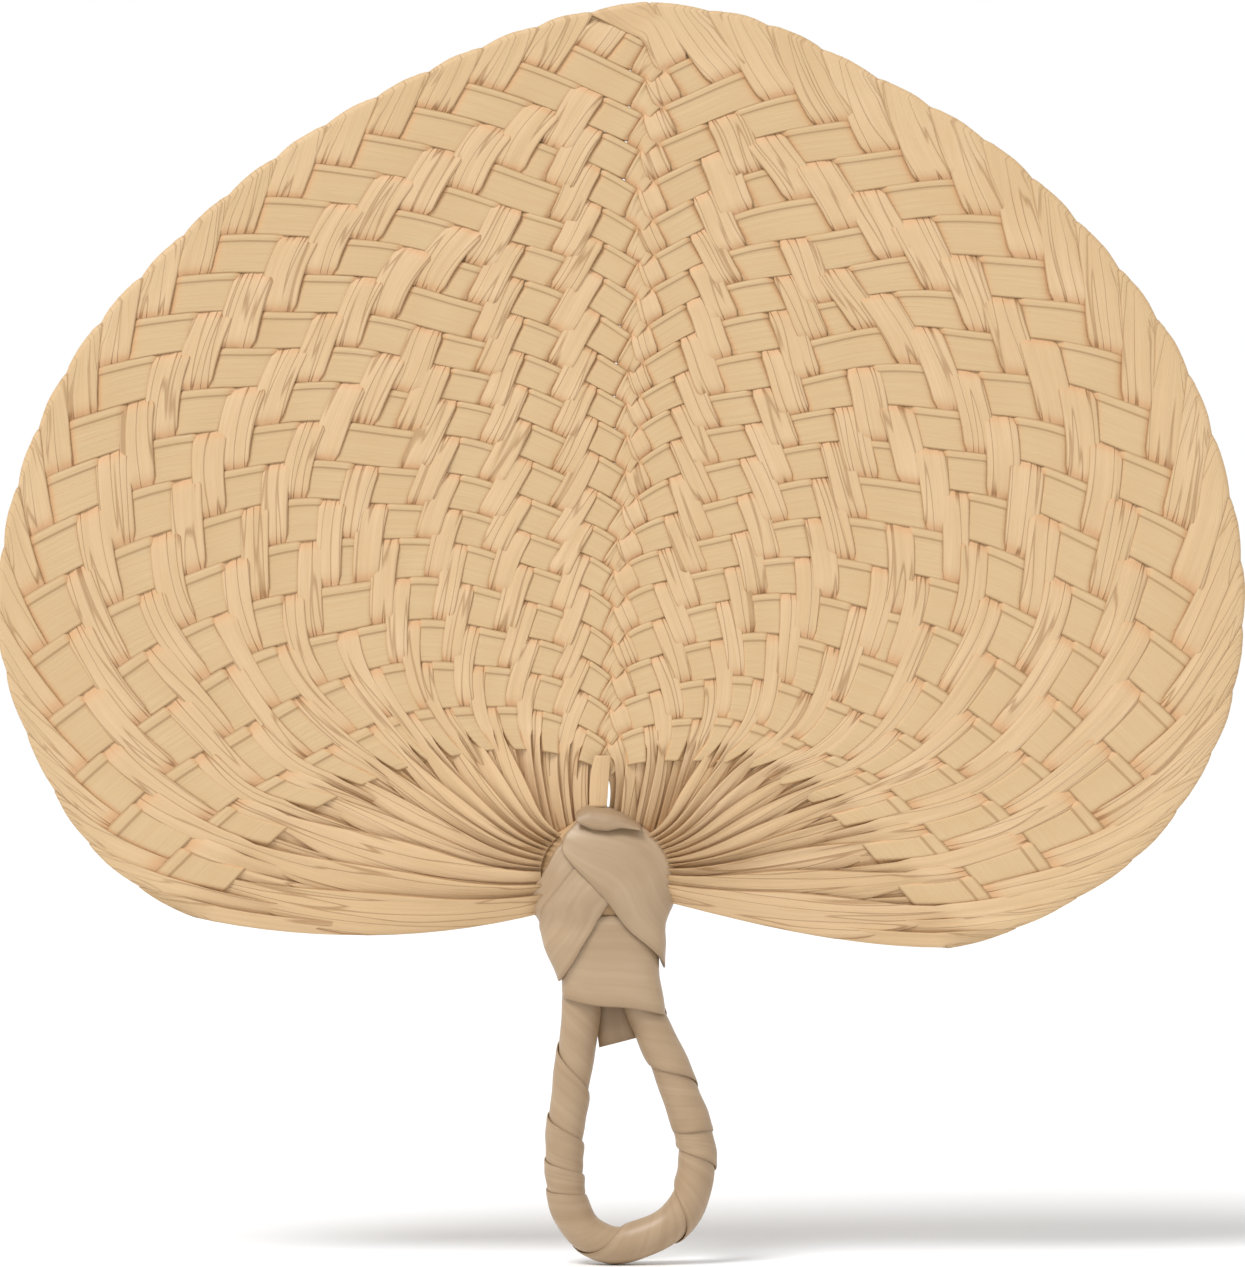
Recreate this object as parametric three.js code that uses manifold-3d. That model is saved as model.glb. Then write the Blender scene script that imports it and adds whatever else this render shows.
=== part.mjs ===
// Cattail hand fan: a heart-shaped blade of dried leaf strips in pointed twill, gathered into a taped neck
// that carries a taped cane finger loop. Millimetres, +Z up, front of the blade toward -Y.
// The origin is the middle of the neck, where the hand closes on it.
import * as THREE from 'three';
import Module from 'manifold-3d';

const BLADE_WIDTH = 348.5;
const BLADE_HEIGHT = 268.9;
// Rim of the blade from its tip down each side to the bottom of the lobe: x and z from the origin, in shares
// of the blade's width and height.
const TIP_SHARES = [0.034, 0.961];
const LEFT_RIM_SHARES = [
  [-0.043, 0.94], [-0.145, 0.887], [-0.255, 0.808], [-0.352, 0.703], [-0.423, 0.599],
  [-0.465, 0.493], [-0.488, 0.377], [-0.488, 0.283], [-0.462, 0.179], [-0.413, 0.074],
  [-0.339, 0.007], [-0.28, -0.015],
];
const RIGHT_RIM_SHARES = [
  [0.122, 0.94], [0.209, 0.887], [0.313, 0.808], [0.399, 0.703], [0.458, 0.599],
  [0.492, 0.493], [0.512, 0.368], [0.509, 0.268], [0.489, 0.179], [0.433, 0.074],
  [0.35, 0.004], [0.286, -0.026], [0.221, -0.039],
];
// Point above the neck that the weave opens out from, and how far its cross strips arch upward.
const FOCUS_X = -0.3;
const FOCUS_Z = 42;
const ARCH = 17;
// Share of the even spread along the rim: the rest crowds the strips toward the tip.
const EVEN_SPREAD_SHARE = 0.93;
// Share of the even pitch along a cross strip: the rest widens the strips toward the rim.
const EVEN_PITCH_SHARE = 0.505;
// The rows draw together toward the neck by this power.
const ROW_POWER = 1.12;

const STRIPS_PER_SIDE = 22;
// Count of the innermost strip of each side: the weave has no room for one nearer the neck.
const FIRST_STRIP_COUNT = 1;
// Crossings in one step of the twill: over two and under two.
const TWILL = 4;
// Half of each strip's width, in pitches of the weave: the rest is the slit between neighbours.
const STRIP_SHARE = 0.36;
const STRIP_SHARE_AT_NECK = 0.36;
// The lowest cross strips lie slanted to the rest, so the innermost strip is narrower and the next ones
// gain on it.
const LEAST_STRIP_SHARE = 0.6;
const STRIP_GAIN_SHARE = 0.1;
const RIB = 0.52;
const RIB_AT_NECK = 2.4;
// Depth of a strip before or behind the middle of the blade where it crosses another, and how much further
// out it bows at every second crossing.
const WAVE = 1.4;
const BOW = 0.1;
// Short flat strip that closes the slit between the two sides right above the neck.
const CENTRE_STRIP_X = -2.2;
const CENTRE_STRIP_WIDTH = 5.2;
const CENTRE_STRIP_LENGTH = 16;
const CENTRE_STRIP_DEPTH = 0.6;

const NECK_X = -0.6;
const NECK_Z = 14;
const NECK_WIDTH = 39.2;
const NECK_DEPTH = 16;
const NECK_RISE = 14.4;
// The bundle ends flat at this share of its rise.
const NECK_TOP_SHARE = 0.98;
const NECK_DROP = 32;
const NECK_FOOT_X = 1;
const NECK_FOOT_WIDTH = 25.8;
const NECK_FOOT_DEPTH = 13.2;
const NECK_FOOT_Z = -11;
// Where the strips enter the neck, in degrees round it from its top.
const FIRST_ENTRY_ANGLE = 3;
const LAST_ENTRY_ANGLE_LEFT = 112;
const LAST_ENTRY_ANGLE_RIGHT = 106;

const GAP = 0.4;
// Clearance under a tape that crosses an edge of the tape below it.
const LAP_GAP = 0.65;
const TAPE = 0.7;
const BAND_FOOT_Z = -23.5;
const BAND_HEAD_Z = -2;
const SLING_HEIGHT = 13;
const SLING_SIDE_Z = -7.2;
const SLING_HEAD_Z = 20;
const SLING_REACH_SHARE = 0.33;
const SLING_STEPS = 10;
const CAP_HEIGHT = 3;
const CAP_HEAD_Z = 27.6;
const CAP_SLANT = 3.2;
const CAP_START_SHARE = 0.69;
const CAP_REACH_SHARE = 0.14;

const CANE = 8.4;
const CANE_SIDES = 10;
const CANE_STEPS = 46;
const CANE_HEAD_Z = 2;
const LEG_INSET = 1.4;
const SOCKET_OVERRUN = 1;
const LOOP_WIDTH = 36.6;
const LOOP_DROP = 91.5;
// Middle line of the finger loop from under the left of the neck round to under the right: x from the middle
// of the neck's foot and z from the origin, in shares of the loop's width and drop.
const LOOP_SHARES = [
  [-0.221, -0.247], [-0.29, -0.479], [-0.355, -0.694], [-0.32, -0.88], [-0.197, -0.962],
  [0.011, -1], [0.265, -0.981], [0.497, -0.921], [0.628, -0.817], [0.645, -0.689],
  [0.473, -0.479], [0.227, -0.247],
];
const WINDING_PITCH = 20;
const WINDING_WIDTH = 22.5;
const WINDING_TAPE = 0.6;
const WINDING_LIFT = 0.75;
const WINDING_STEPS = 12;
const WINDING_CLEAR = 0.55;
const WINDING_TUCK = 2;
// Distance along the cane from the level band to the winding, so that its slanted rings stay clear.
const WINDING_GAP = 2.6;
const TAIL_WIDTH = 8;
const TAIL_FOOT_Z = -36.4;
const TAIL_SLANT = 4.5;
const TAIL_SHIFT = 1;
const TAIL_CLEAR = 0.35;

const LEAF_COLOR = 0xdebf97;
const BUNDLE_COLOR = 0xc2a878;
const CANE_COLOR = 0xb99766;
const TAPE_COLOR = 0xbda283;
const DARK_TAPE_COLOR = 0x8f7459;

const fan = new THREE.Group();

function addPiece(name, geometry, color, roughness) {
  const mesh = new THREE.Mesh(geometry, new THREE.MeshStandardMaterial({ color, roughness, metalness: 0 }));
  mesh.name = name;
  fan.add(mesh);
}

// Closed solid through a row of like sections, each a ring of points. A looped row joins its last section to
// its first.
function skin(sections, looped = false) {
  const size = sections[0].length;
  const position = sections.flat().flatMap((point) => [point.x, point.y, point.z]);
  const index = [];
  const joints = looped ? sections.length : sections.length - 1;
  for (let i = 0; i < joints; i += 1) {
    const here = i * size;
    const next = ((i + 1) % sections.length) * size;
    for (let j = 0; j < size; j += 1) {
      const k = (j + 1) % size;
      index.push(here + j, here + k, next + k);
      index.push(here + j, next + k, next + j);
    }
  }
  if (!looped) {
    const last = (sections.length - 1) * size;
    for (let j = 1; j < size - 1; j += 1) {
      index.push(0, j + 1, j);
      index.push(last, last + j, last + j + 1);
    }
  }
  const geometry = new THREE.BufferGeometry();
  geometry.setAttribute('position', new THREE.Float32BufferAttribute(position, 3));
  geometry.setIndex(volume(position, index) < 0 ? index.reverse() : index);
  return geometry;
}

function volume(position, index) {
  const corner = (i) => new THREE.Vector3().fromArray(position, 3 * i);
  let sum = 0;
  for (let i = 0; i < index.length; i += 3) {
    sum += corner(index[i]).dot(corner(index[i + 1]).cross(corner(index[i + 2])));
  }
  return sum / 6;
}

// Points given in shares of a width and a height, set out from a middle.
function place(shares, width, height, middle) {
  return shares.map(([x, z]) => [middle + x * width, z * height]);
}

function smoothCurve(points) {
  const curve = new THREE.CatmullRomCurve3(points.map(([x, z]) => new THREE.Vector3(x, 0, z)));
  curve.arcLengthDivisions = 600;
  return curve;
}

const leftRim = smoothCurve(place([TIP_SHARES, ...LEFT_RIM_SHARES], BLADE_WIDTH, BLADE_HEIGHT, 0));
const rightRim = smoothCurve(place([TIP_SHARES, ...RIGHT_RIM_SHARES], BLADE_WIDTH, BLADE_HEIGHT, 0));
const focus = new THREE.Vector3(FOCUS_X, 0, FOCUS_Z);
const HALF_ROWS = STRIPS_PER_SIDE + FIRST_STRIP_COUNT;
const ROWS = 2 * HALF_ROWS;

// Where a left strip and a right strip cross, both counted outward from the neck. Counts past the last strip
// of a side are the strips of the other side coming back down from the rim.
function crossing(left, right) {
  const rim = left >= right ? leftRim : rightRim;
  const row = Math.min(left, right);
  const columns = ROWS - 1 - 2 * row;
  const column = Math.abs(left - right) / columns;
  const spread = columns * column * (EVEN_PITCH_SHARE + (1 - EVEN_PITCH_SHARE) * column);
  const reach = 2 * row + spread + 1;
  const swing = spread / reach;
  const along = EVEN_SPREAD_SHARE * swing + (1 - EVEN_SPREAD_SHARE) * swing * swing;
  const end = rim.getPointAt(Math.min(along, 1));
  end.addScaledVector(rim.getTangentAt(1), Math.max(along - 1, 0) * rim.getLength());
  const share = Math.pow(reach / ROWS, ROW_POWER);
  const point = focus.clone().lerp(end, share);
  point.z += ARCH * 4 * share * (1 - share) * swing;
  return point;
}

// Path of a gathered strip end from its last crossing (0) to the flank of the neck (1), on one side.
function gathered(count, along, side) {
  const at = (own, other) => (side < 0 ? crossing(own, other) : crossing(other, own));
  const start = at(count, FIRST_STRIP_COUNT);
  const heading = start.clone().sub(at(count, FIRST_STRIP_COUNT + 0.4)).normalize();
  const lastEntry = side < 0 ? LAST_ENTRY_ANGLE_LEFT : LAST_ENTRY_ANGLE_RIGHT;
  const order = (count - FIRST_STRIP_COUNT + 0.5) / (2 * STRIPS_PER_SIDE);
  const turn = THREE.MathUtils.lerp(FIRST_ENTRY_ANGLE, lastEntry, Math.pow(order, 0.9));
  const sin = Math.sin(THREE.MathUtils.degToRad(turn));
  const cos = Math.cos(THREE.MathUtils.degToRad(turn));
  const wide = NECK_WIDTH / 2 + GAP;
  const high = (cos > 0 ? NECK_RISE : NECK_DROP) + GAP;
  const end = new THREE.Vector3(NECK_X + side * wide * sin, 0, NECK_Z + high * cos);
  const outward = new THREE.Vector3(side * sin / wide, 0, cos / high).normalize();
  const pull = start.distanceTo(end) / 3;
  const path = new THREE.CubicBezierCurve3(start, start.clone().addScaledVector(heading, pull),
    end.clone().addScaledVector(outward, pull), end);
  return path.getPoint(along);
}

// Whether the right strip lies on the front where it crosses the left one: over two and under two, with the
// step reversed at the centre line and again at the strips that come back down from the rim. Next to the rim
// the right strip is always in front, so that each fold turns from one face of the blade to the other.
function rightInFront(left, right) {
  const fromTip = ROWS - 2 - left - right;
  if (Math.max(left, right) >= HALF_ROWS || fromTip === 0) {
    return fromTip % TWILL < TWILL / 2;
  }
  const fromCentre = Math.abs(left - right);
  const step = (fromCentre + (left >= right ? 1 : 0)) % TWILL;
  return left >= right ? step >= TWILL / 2 : step < TWILL / 2;
}

// Three-cornered section of a strip: two edges and the rib between them, at a depth before or behind the
// middle of the blade.
function stripSection(edgeA, edgeB, depth, rib) {
  const middle = edgeA.clone().add(edgeB).multiplyScalar(0.5);
  edgeA.y = depth;
  edgeB.y = depth;
  middle.y = depth + rib;
  return [edgeA, edgeB, middle];
}

// One strip: out of the neck on its own side, across the centre line, folded at the rim, and back to the
// neck. Its rib lies on the outer face of the fold.
function strip(count, side) {
  const at = (own, other) => (side < 0 ? crossing(own, other) : crossing(other, own));
  const inFront = (own, other) => (side < 0 ? !rightInFront(own, other) : rightInFront(other, own));
  const depthAt = (own, other) => (inFront(own, other) ? -1 : 1) * (WAVE + BOW * ((own + other) % 2));
  const foldRow = ROWS - 1 - count;
  const face = inFront(count, foldRow - 1) ? -1 : 1;
  const w = STRIP_SHARE * Math.min(LEAST_STRIP_SHARE + STRIP_GAIN_SHARE * (count - FIRST_STRIP_COUNT), 1);
  const sections = [];
  const gather = (row, sideOfNeck, ribFace, flip) => [0.25, 0.5, 0.75, 1].map((along) => {
    const half = THREE.MathUtils.lerp(w, Math.min(w, STRIP_SHARE_AT_NECK), along);
    const rib = THREE.MathUtils.lerp(RIB, RIB_AT_NECK, along);
    const low = gathered(row - half, along, sideOfNeck);
    const high = gathered(row + half, along, sideOfNeck);
    return stripSection(flip ? high : low, flip ? low : high, -ribFace * rib / 2, ribFace * rib);
  });
  sections.push(...gather(count, side, face, false).reverse());
  for (let other = FIRST_STRIP_COUNT; other < foldRow; other += 1) {
    sections.push(stripSection(at(count - w, other), at(count + w, other), depthAt(count, other), face * RIB));
  }
  const inner = at(count - w, foldRow + w);
  const outer = at(count + w, foldRow - w);
  const fold = inner.clone().add(outer).multiplyScalar(0.5);
  const outward = at(count + 0.1, foldRow + 0.1).sub(fold).normalize();
  const crest = fold.clone().addScaledVector(outward, RIB);
  sections.push([inner, outer, crest]);
  for (let own = count - 1; own >= FIRST_STRIP_COUNT; own -= 1) {
    sections.push(stripSection(at(own, foldRow + w), at(own, foldRow - w), -depthAt(own, foldRow), -face * RIB));
  }
  sections.push(...gather(foldRow, -side, -face, true));
  return skin(sections);
}

for (let i = 0; i < STRIPS_PER_SIDE; i += 1) {
  const number = String(i + 1).padStart(2, '0');
  addPiece(`left_strip_${number}`, strip(FIRST_STRIP_COUNT + i, -1), LEAF_COLOR, 0.62);
  addPiece(`right_strip_${number}`, strip(FIRST_STRIP_COUNT + i, 1), LEAF_COLOR, 0.62);
}

// Flat strip in the slit above the neck, in front of the others, with its foot on the shoulder of the bundle.
const centreStrip = new THREE.BoxGeometry(CENTRE_STRIP_WIDTH, CENTRE_STRIP_DEPTH, CENTRE_STRIP_LENGTH);
centreStrip.translate(CENTRE_STRIP_X, -(WAVE + BOW + RIB + GAP + CENTRE_STRIP_DEPTH / 2),
  NECK_Z + NECK_TOP_SHARE * NECK_RISE + CENTRE_STRIP_LENGTH / 2);
addPiece('centre_strip', centreStrip, LEAF_COLOR, 0.62);

// Ring round the neck at one height: two round ends joined by a flat front and a flat back.
const RING_ARC_STEPS = 9;

function neckMiddle(z) {
  return THREE.MathUtils.lerp(NECK_X, NECK_FOOT_X, THREE.MathUtils.clamp(z / NECK_FOOT_Z, 0, 1));
}

function neckHalfWidth(z) {
  const share = (z - NECK_Z) / (z > NECK_Z ? NECK_RISE : NECK_DROP);
  const egg = NECK_WIDTH / 2 * Math.sqrt(Math.max(1 - share * share, 0));
  return z < NECK_Z ? Math.max(egg, NECK_FOOT_WIDTH / 2) : egg;
}

function neckHalfDepth(z) {
  const half = NECK_DEPTH / NECK_WIDTH * neckHalfWidth(z);
  return z < NECK_Z ? Math.max(half, NECK_FOOT_DEPTH / 2) : half;
}

function neckRing(z, offset, halfDepth = neckHalfDepth(z)) {
  const depth = halfDepth + offset;
  const flat = Math.max(neckHalfWidth(z) - halfDepth, 0);
  const ring = [];
  for (let end = 0; end < 2; end += 1) {
    for (let i = 0; i <= RING_ARC_STEPS; i += 1) {
      const angle = Math.PI * (end - 0.5 + i / RING_ARC_STEPS);
      const x = neckMiddle(z) + (end === 0 ? flat : -flat) + depth * Math.cos(angle);
      ring.push(new THREE.Vector3(x, depth * Math.sin(angle), z));
    }
  }
  return ring;
}

// Bundle of gathered strip butts, with two blind sockets for the ends of the cane.
const wasm = await Module();
wasm.setup();

function toManifold(geometry) {
  const vertProperties = new Float32Array(geometry.attributes.position.array);
  const triVerts = new Uint32Array(geometry.index.array);
  const mesh = new wasm.Mesh({ numProp: 3, vertProperties, triVerts });
  mesh.merge();
  return new wasm.Manifold(mesh);
}

function toGeometry(solid) {
  const { numProp, vertProperties, triVerts } = solid.getMesh();
  const position = [];
  for (let i = 0; i < vertProperties.length; i += numProp) {
    position.push(vertProperties[i], vertProperties[i + 1], vertProperties[i + 2]);
  }
  const geometry = new THREE.BufferGeometry();
  geometry.setAttribute('position', new THREE.Float32BufferAttribute(position, 3));
  geometry.setIndex(Array.from(triVerts));
  return geometry;
}

function socket(x) {
  const depth = CANE_HEAD_Z + GAP - NECK_FOOT_Z + SOCKET_OVERRUN;
  const geometry = new THREE.CylinderGeometry(CANE / 2 + GAP, CANE / 2 + GAP, depth, 12);
  geometry.rotateX(Math.PI / 2);
  geometry.translate(x, 0, CANE_HEAD_Z + GAP - depth / 2);
  return geometry;
}

const leftLegX = NECK_FOOT_X - NECK_FOOT_WIDTH / 2 + CANE / 2 + LEG_INSET;
const rightLegX = NECK_FOOT_X + NECK_FOOT_WIDTH / 2 - CANE / 2 - LEG_INSET;
const coreHeights = [
  ...[0, 0.36, 0.68].map((share) => THREE.MathUtils.lerp(NECK_FOOT_Z, NECK_Z, share)),
  ...[0, 0.42, 0.72, 0.92, NECK_TOP_SHARE].map((share) => NECK_Z + share * NECK_RISE),
];
let core = toManifold(skin(coreHeights.map((z) => neckRing(z, 0))));
core = core.subtract(toManifold(socket(leftLegX))).subtract(toManifold(socket(rightLegX)));
addPiece('neck_core', toGeometry(core), BUNDLE_COLOR, 0.7);

// Level band round the foot of the neck and the tops of the loop's legs, flat in front and behind.
const bandHeights = [BAND_FOOT_Z, NECK_FOOT_Z, BAND_HEAD_Z];
const bandDepth = neckHalfDepth(BAND_HEAD_Z);
const bandOuter = bandHeights.map((z) => neckRing(z, GAP + TAPE, bandDepth));
const bandInner = bandHeights.map((z) => neckRing(z, GAP, bandDepth)).reverse();
const bandRing = [...bandOuter, ...bandInner];
addPiece('neck_wrap_lower', skin(bandOuter[0].map((_, i) => bandRing.map((ring) => ring[i].clone())), true),
  TAPE_COLOR, 0.45);

// Point on the flank of the neck, a share of the way round it from the right by way of the back.
function onNeck(share, z, offset) {
  const ring = neckRing(z, offset, Math.max(neckHalfDepth(z), z < BAND_HEAD_Z ? bandDepth : 0));
  const steps = ring.map((point, i) => point.distanceTo(ring[(i + 1) % ring.length]));
  const start = RING_ARC_STEPS / 2 * steps[0];
  const round = steps.reduce((sum, step) => sum + step, 0);
  let left = THREE.MathUtils.euclideanModulo(start + share * round, round);
  let i = 0;
  while (left > steps[i]) {
    left -= steps[i];
    i += 1;
  }
  return ring[i].clone().lerp(ring[(i + 1) % ring.length], left / steps[i]);
}

// Slanting sling: down the front from near the top, under one lobe and up the back.
function sling(sideShare, offset) {
  const sections = [];
  for (let i = 0; i <= 2 * SLING_STEPS; i += 1) {
    const swing = i / SLING_STEPS - 1;
    const z = THREE.MathUtils.lerp(SLING_SIDE_Z, SLING_HEAD_Z, Math.pow(Math.abs(swing), 1.2));
    const heights = [-0.5, -1 / 6, 1 / 6, 0.5].map((part) => z + part * SLING_HEIGHT);
    const share = sideShare + swing * SLING_REACH_SHARE;
    const outer = heights.map((height) => onNeck(share, height, offset + TAPE));
    const inner = heights.map((height) => onNeck(share, height, offset)).reverse();
    sections.push([...outer, ...inner]);
  }
  return skin(sections);
}

addPiece('neck_wrap_left', sling(0.5, GAP + TAPE + LAP_GAP), TAPE_COLOR, 0.45);
addPiece('neck_wrap_right', sling(0, GAP + 2 * TAPE + 2 * LAP_GAP), TAPE_COLOR, 0.45);

// Cane bent into the loop, with both ends in the sockets of the bundle.
const loopPoints = [
  [leftLegX, CANE_HEAD_Z], [leftLegX, NECK_FOOT_Z],
  ...place(LOOP_SHARES, LOOP_WIDTH, LOOP_DROP, NECK_FOOT_X),
  [rightLegX, NECK_FOOT_Z], [rightLegX, CANE_HEAD_Z],
];
const loopCurve = smoothCurve(loopPoints);

function onCane(distance, angle, radius) {
  const share = THREE.MathUtils.clamp(distance / loopCurve.getLength(), 0, 1);
  const tangent = loopCurve.getTangentAt(share);
  const inward = new THREE.Vector3(-tangent.z, 0, tangent.x);
  const point = loopCurve.getPointAt(share).addScaledVector(inward, radius * Math.cos(angle));
  point.y += radius * Math.sin(angle);
  return point;
}

const caneRings = [];
for (let i = 0; i <= CANE_STEPS; i += 1) {
  const ring = [];
  for (let j = 0; j < CANE_SIDES; j += 1) {
    ring.push(onCane(loopCurve.getLength() * i / CANE_STEPS, 2 * Math.PI * j / CANE_SIDES, CANE / 2));
  }
  caneRings.push(ring);
}
addPiece('loop_core', skin(caneRings), CANE_COLOR, 0.7);

// Tape wound round the loop: each turn's trailing edge rides on the turn before it.
function caneDistance(z, fromEnd) {
  let share = 0;
  while (loopCurve.getPointAt(fromEnd ? 1 - share : share).z > z) {
    share += 0.001;
  }
  return loopCurve.getLength() * (fromEnd ? 1 - share : share);
}

const windingStart = caneDistance(BAND_FOOT_Z - WINDING_GAP, false);
const windingEnd = caneDistance(BAND_FOOT_Z - WINDING_GAP, true);
const windingLift = WINDING_TAPE + WINDING_LIFT;

function windingRow(step, outside) {
  const middle = windingStart - WINDING_WIDTH / 2 + WINDING_TUCK + WINDING_PITCH * step / WINDING_STEPS;
  const from = Math.max(middle - WINDING_WIDTH / 2, windingStart);
  const to = Math.min(middle + WINDING_WIDTH / 2, windingEnd);
  const angle = 2 * Math.PI * step / WINDING_STEPS;
  return [0, 1 / 3, 2 / 3, 1].map((part) => {
    const distance = THREE.MathUtils.lerp(from, to, part);
    const lift = windingLift * (middle + WINDING_WIDTH / 2 - distance) / WINDING_WIDTH;
    return onCane(distance, angle, CANE / 2 + WINDING_CLEAR + lift + (outside ? WINDING_TAPE : 0));
  });
}

const windingLength = windingEnd - windingStart + WINDING_WIDTH - 2 * WINDING_TUCK;
const windingSteps = Math.floor(windingLength / WINDING_PITCH * WINDING_STEPS);
const windingSections = [];
for (let step = 0; step <= windingSteps; step += 1) {
  windingSections.push([...windingRow(step, true), ...windingRow(step, false).reverse()]);
}
addPiece('loop_tape', skin(windingSections), TAPE_COLOR, 0.45);

// Least gap of the winding to itself, between the outside of each turn and the inside of the next.
function dense(row) {
  const parts = [0, 0.25, 0.5, 0.75];
  return row.slice(1).flatMap((point, i) => parts.map((part) => row[i].clone().lerp(point, part)));
}

let windingGap = Infinity;
for (let step = 0; step + WINDING_STEPS <= windingSteps; step += 1) {
  const under = dense(windingRow(step, true));
  const over = dense(windingRow(step + WINDING_STEPS, false));
  under.forEach((a) => over.forEach((b) => {
    windingGap = Math.min(windingGap, a.distanceTo(b));
  }));
}
console.log(`loop_tape least gap to itself ${windingGap.toFixed(2)} mm`);

// Loose tape end that hangs behind the legs, tucked up inside the level band and cut on the slant.
const tailBack = bandDepth + GAP - TAIL_CLEAR;
const tailMiddle = NECK_FOOT_X + TAIL_SHIFT;
const tailShape = new THREE.Shape();
tailShape.moveTo(tailMiddle - TAIL_WIDTH / 2, NECK_FOOT_Z - GAP);
tailShape.lineTo(tailMiddle - TAIL_WIDTH / 2, TAIL_FOOT_Z);
tailShape.lineTo(tailMiddle + TAIL_WIDTH / 2, TAIL_FOOT_Z + TAIL_SLANT);
tailShape.lineTo(tailMiddle + TAIL_WIDTH / 2, NECK_FOOT_Z - GAP);
const tail = new THREE.ExtrudeGeometry(tailShape, { depth: TAPE, bevelEnabled: false });
tail.rotateX(Math.PI / 2);
tail.translate(0, tailBack, 0);
addPiece('tape_tail', tail, DARK_TAPE_COLOR, 0.45);

// Folded end of the tape, turned in at the top of the neck in front of the strips.
const capSections = [];
for (let i = 0; i <= 6; i += 1) {
  const share = CAP_START_SHARE + CAP_REACH_SHARE * i / 6;
  const z = CAP_HEAD_Z - CAP_SLANT * i / 6;
  const heights = [z - CAP_HEIGHT, z];
  const offset = 2 * GAP + 3 * TAPE + 2 * LAP_GAP;
  const outer = heights.map((height) => onNeck(share, height, offset + TAPE));
  const inner = heights.map((height) => onNeck(share, height, offset)).reverse();
  capSections.push([...outer, ...inner]);
}
addPiece('neck_cap', skin(capSections), DARK_TAPE_COLOR, 0.45);

export default fan;
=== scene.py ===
import math

import bpy
import numpy as np
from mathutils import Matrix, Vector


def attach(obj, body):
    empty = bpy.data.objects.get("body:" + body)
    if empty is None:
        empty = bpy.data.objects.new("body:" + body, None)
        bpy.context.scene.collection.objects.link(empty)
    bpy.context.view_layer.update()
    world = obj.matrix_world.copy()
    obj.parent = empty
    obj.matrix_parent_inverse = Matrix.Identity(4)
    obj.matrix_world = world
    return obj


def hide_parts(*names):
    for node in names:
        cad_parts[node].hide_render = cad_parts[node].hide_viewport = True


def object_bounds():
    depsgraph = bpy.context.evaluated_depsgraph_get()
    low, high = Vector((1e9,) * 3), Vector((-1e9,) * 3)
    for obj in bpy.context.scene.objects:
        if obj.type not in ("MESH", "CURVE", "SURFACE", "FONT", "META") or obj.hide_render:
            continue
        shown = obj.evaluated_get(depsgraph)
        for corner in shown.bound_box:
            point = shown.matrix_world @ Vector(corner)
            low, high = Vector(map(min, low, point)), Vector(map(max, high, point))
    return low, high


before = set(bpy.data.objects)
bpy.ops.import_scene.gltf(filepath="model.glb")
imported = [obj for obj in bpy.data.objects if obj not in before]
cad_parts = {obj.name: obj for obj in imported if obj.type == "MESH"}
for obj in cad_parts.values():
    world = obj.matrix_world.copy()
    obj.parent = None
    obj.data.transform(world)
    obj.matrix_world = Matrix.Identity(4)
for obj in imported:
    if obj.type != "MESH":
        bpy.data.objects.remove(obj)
cad_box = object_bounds()

# The blade: 22 long strips of split, dried cattail leaf start at each side of the neck, cross in a pointed
# twill, fold back at the rim and run down the other side to the neck again. Each is plaited by hand, damp,
# so it lies flat on its floats, pinches where it dives under a neighbour and crowds into folds at the neck.
# Lengths are millimetres, widths of strips are shares of a row, and rims are shares of the blade's size.
BLADE_WIDTH = 348.5
BLADE_HEIGHT = 268.9
TIP = [(0.034, 0.961)]
LEFT_RIM = [(-0.043, 0.94), (-0.145, 0.887), (-0.255, 0.808), (-0.352, 0.703), (-0.423, 0.599),
            (-0.465, 0.493), (-0.488, 0.377), (-0.488, 0.283), (-0.462, 0.179), (-0.413, 0.074),
            (-0.339, 0.007), (-0.28, -0.015)]
RIGHT_RIM = [(0.122, 0.94), (0.209, 0.887), (0.313, 0.808), (0.399, 0.703), (0.458, 0.599), (0.492, 0.493),
             (0.512, 0.368), (0.509, 0.268), (0.489, 0.179), (0.433, 0.074), (0.35, 0.004), (0.286, -0.026),
             (0.221, -0.039)]
WEAVE_FOCUS = (-0.3, 42.0)
WEAVE_ARCH = 17.0
NECK_DROP = 9.0
EVEN_SPREAD, UNEVEN_SPREAD = 0.505, 0.495
EVEN_PITCH, UNEVEN_PITCH = 0.93, 0.07
ROW_POWER = 1.12
STRIPS = 22
ROWS = 46
TWILL = 4
NECK_TOP = (-0.6, 14.0)
NECK_WIDE, NECK_HIGH, NECK_LOW = 18.0, 14.0, 30.0
LOBE_ROW = 11
LOBE_FROM, LOBE_TO = 46, {-1: 112, 1: 106}
INNER_FROM, INNER_SPAN = 3, 77
STRIP_HALF = 0.5
STRIP_EDGE = 0.26
STRIP_CROWN = 0.12
WAVE = 0.62
rng = np.random.default_rng(7)


def smooth(t):
    t = np.clip(t, 0, 1)
    return t * t * (3 - 2 * t)


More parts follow.
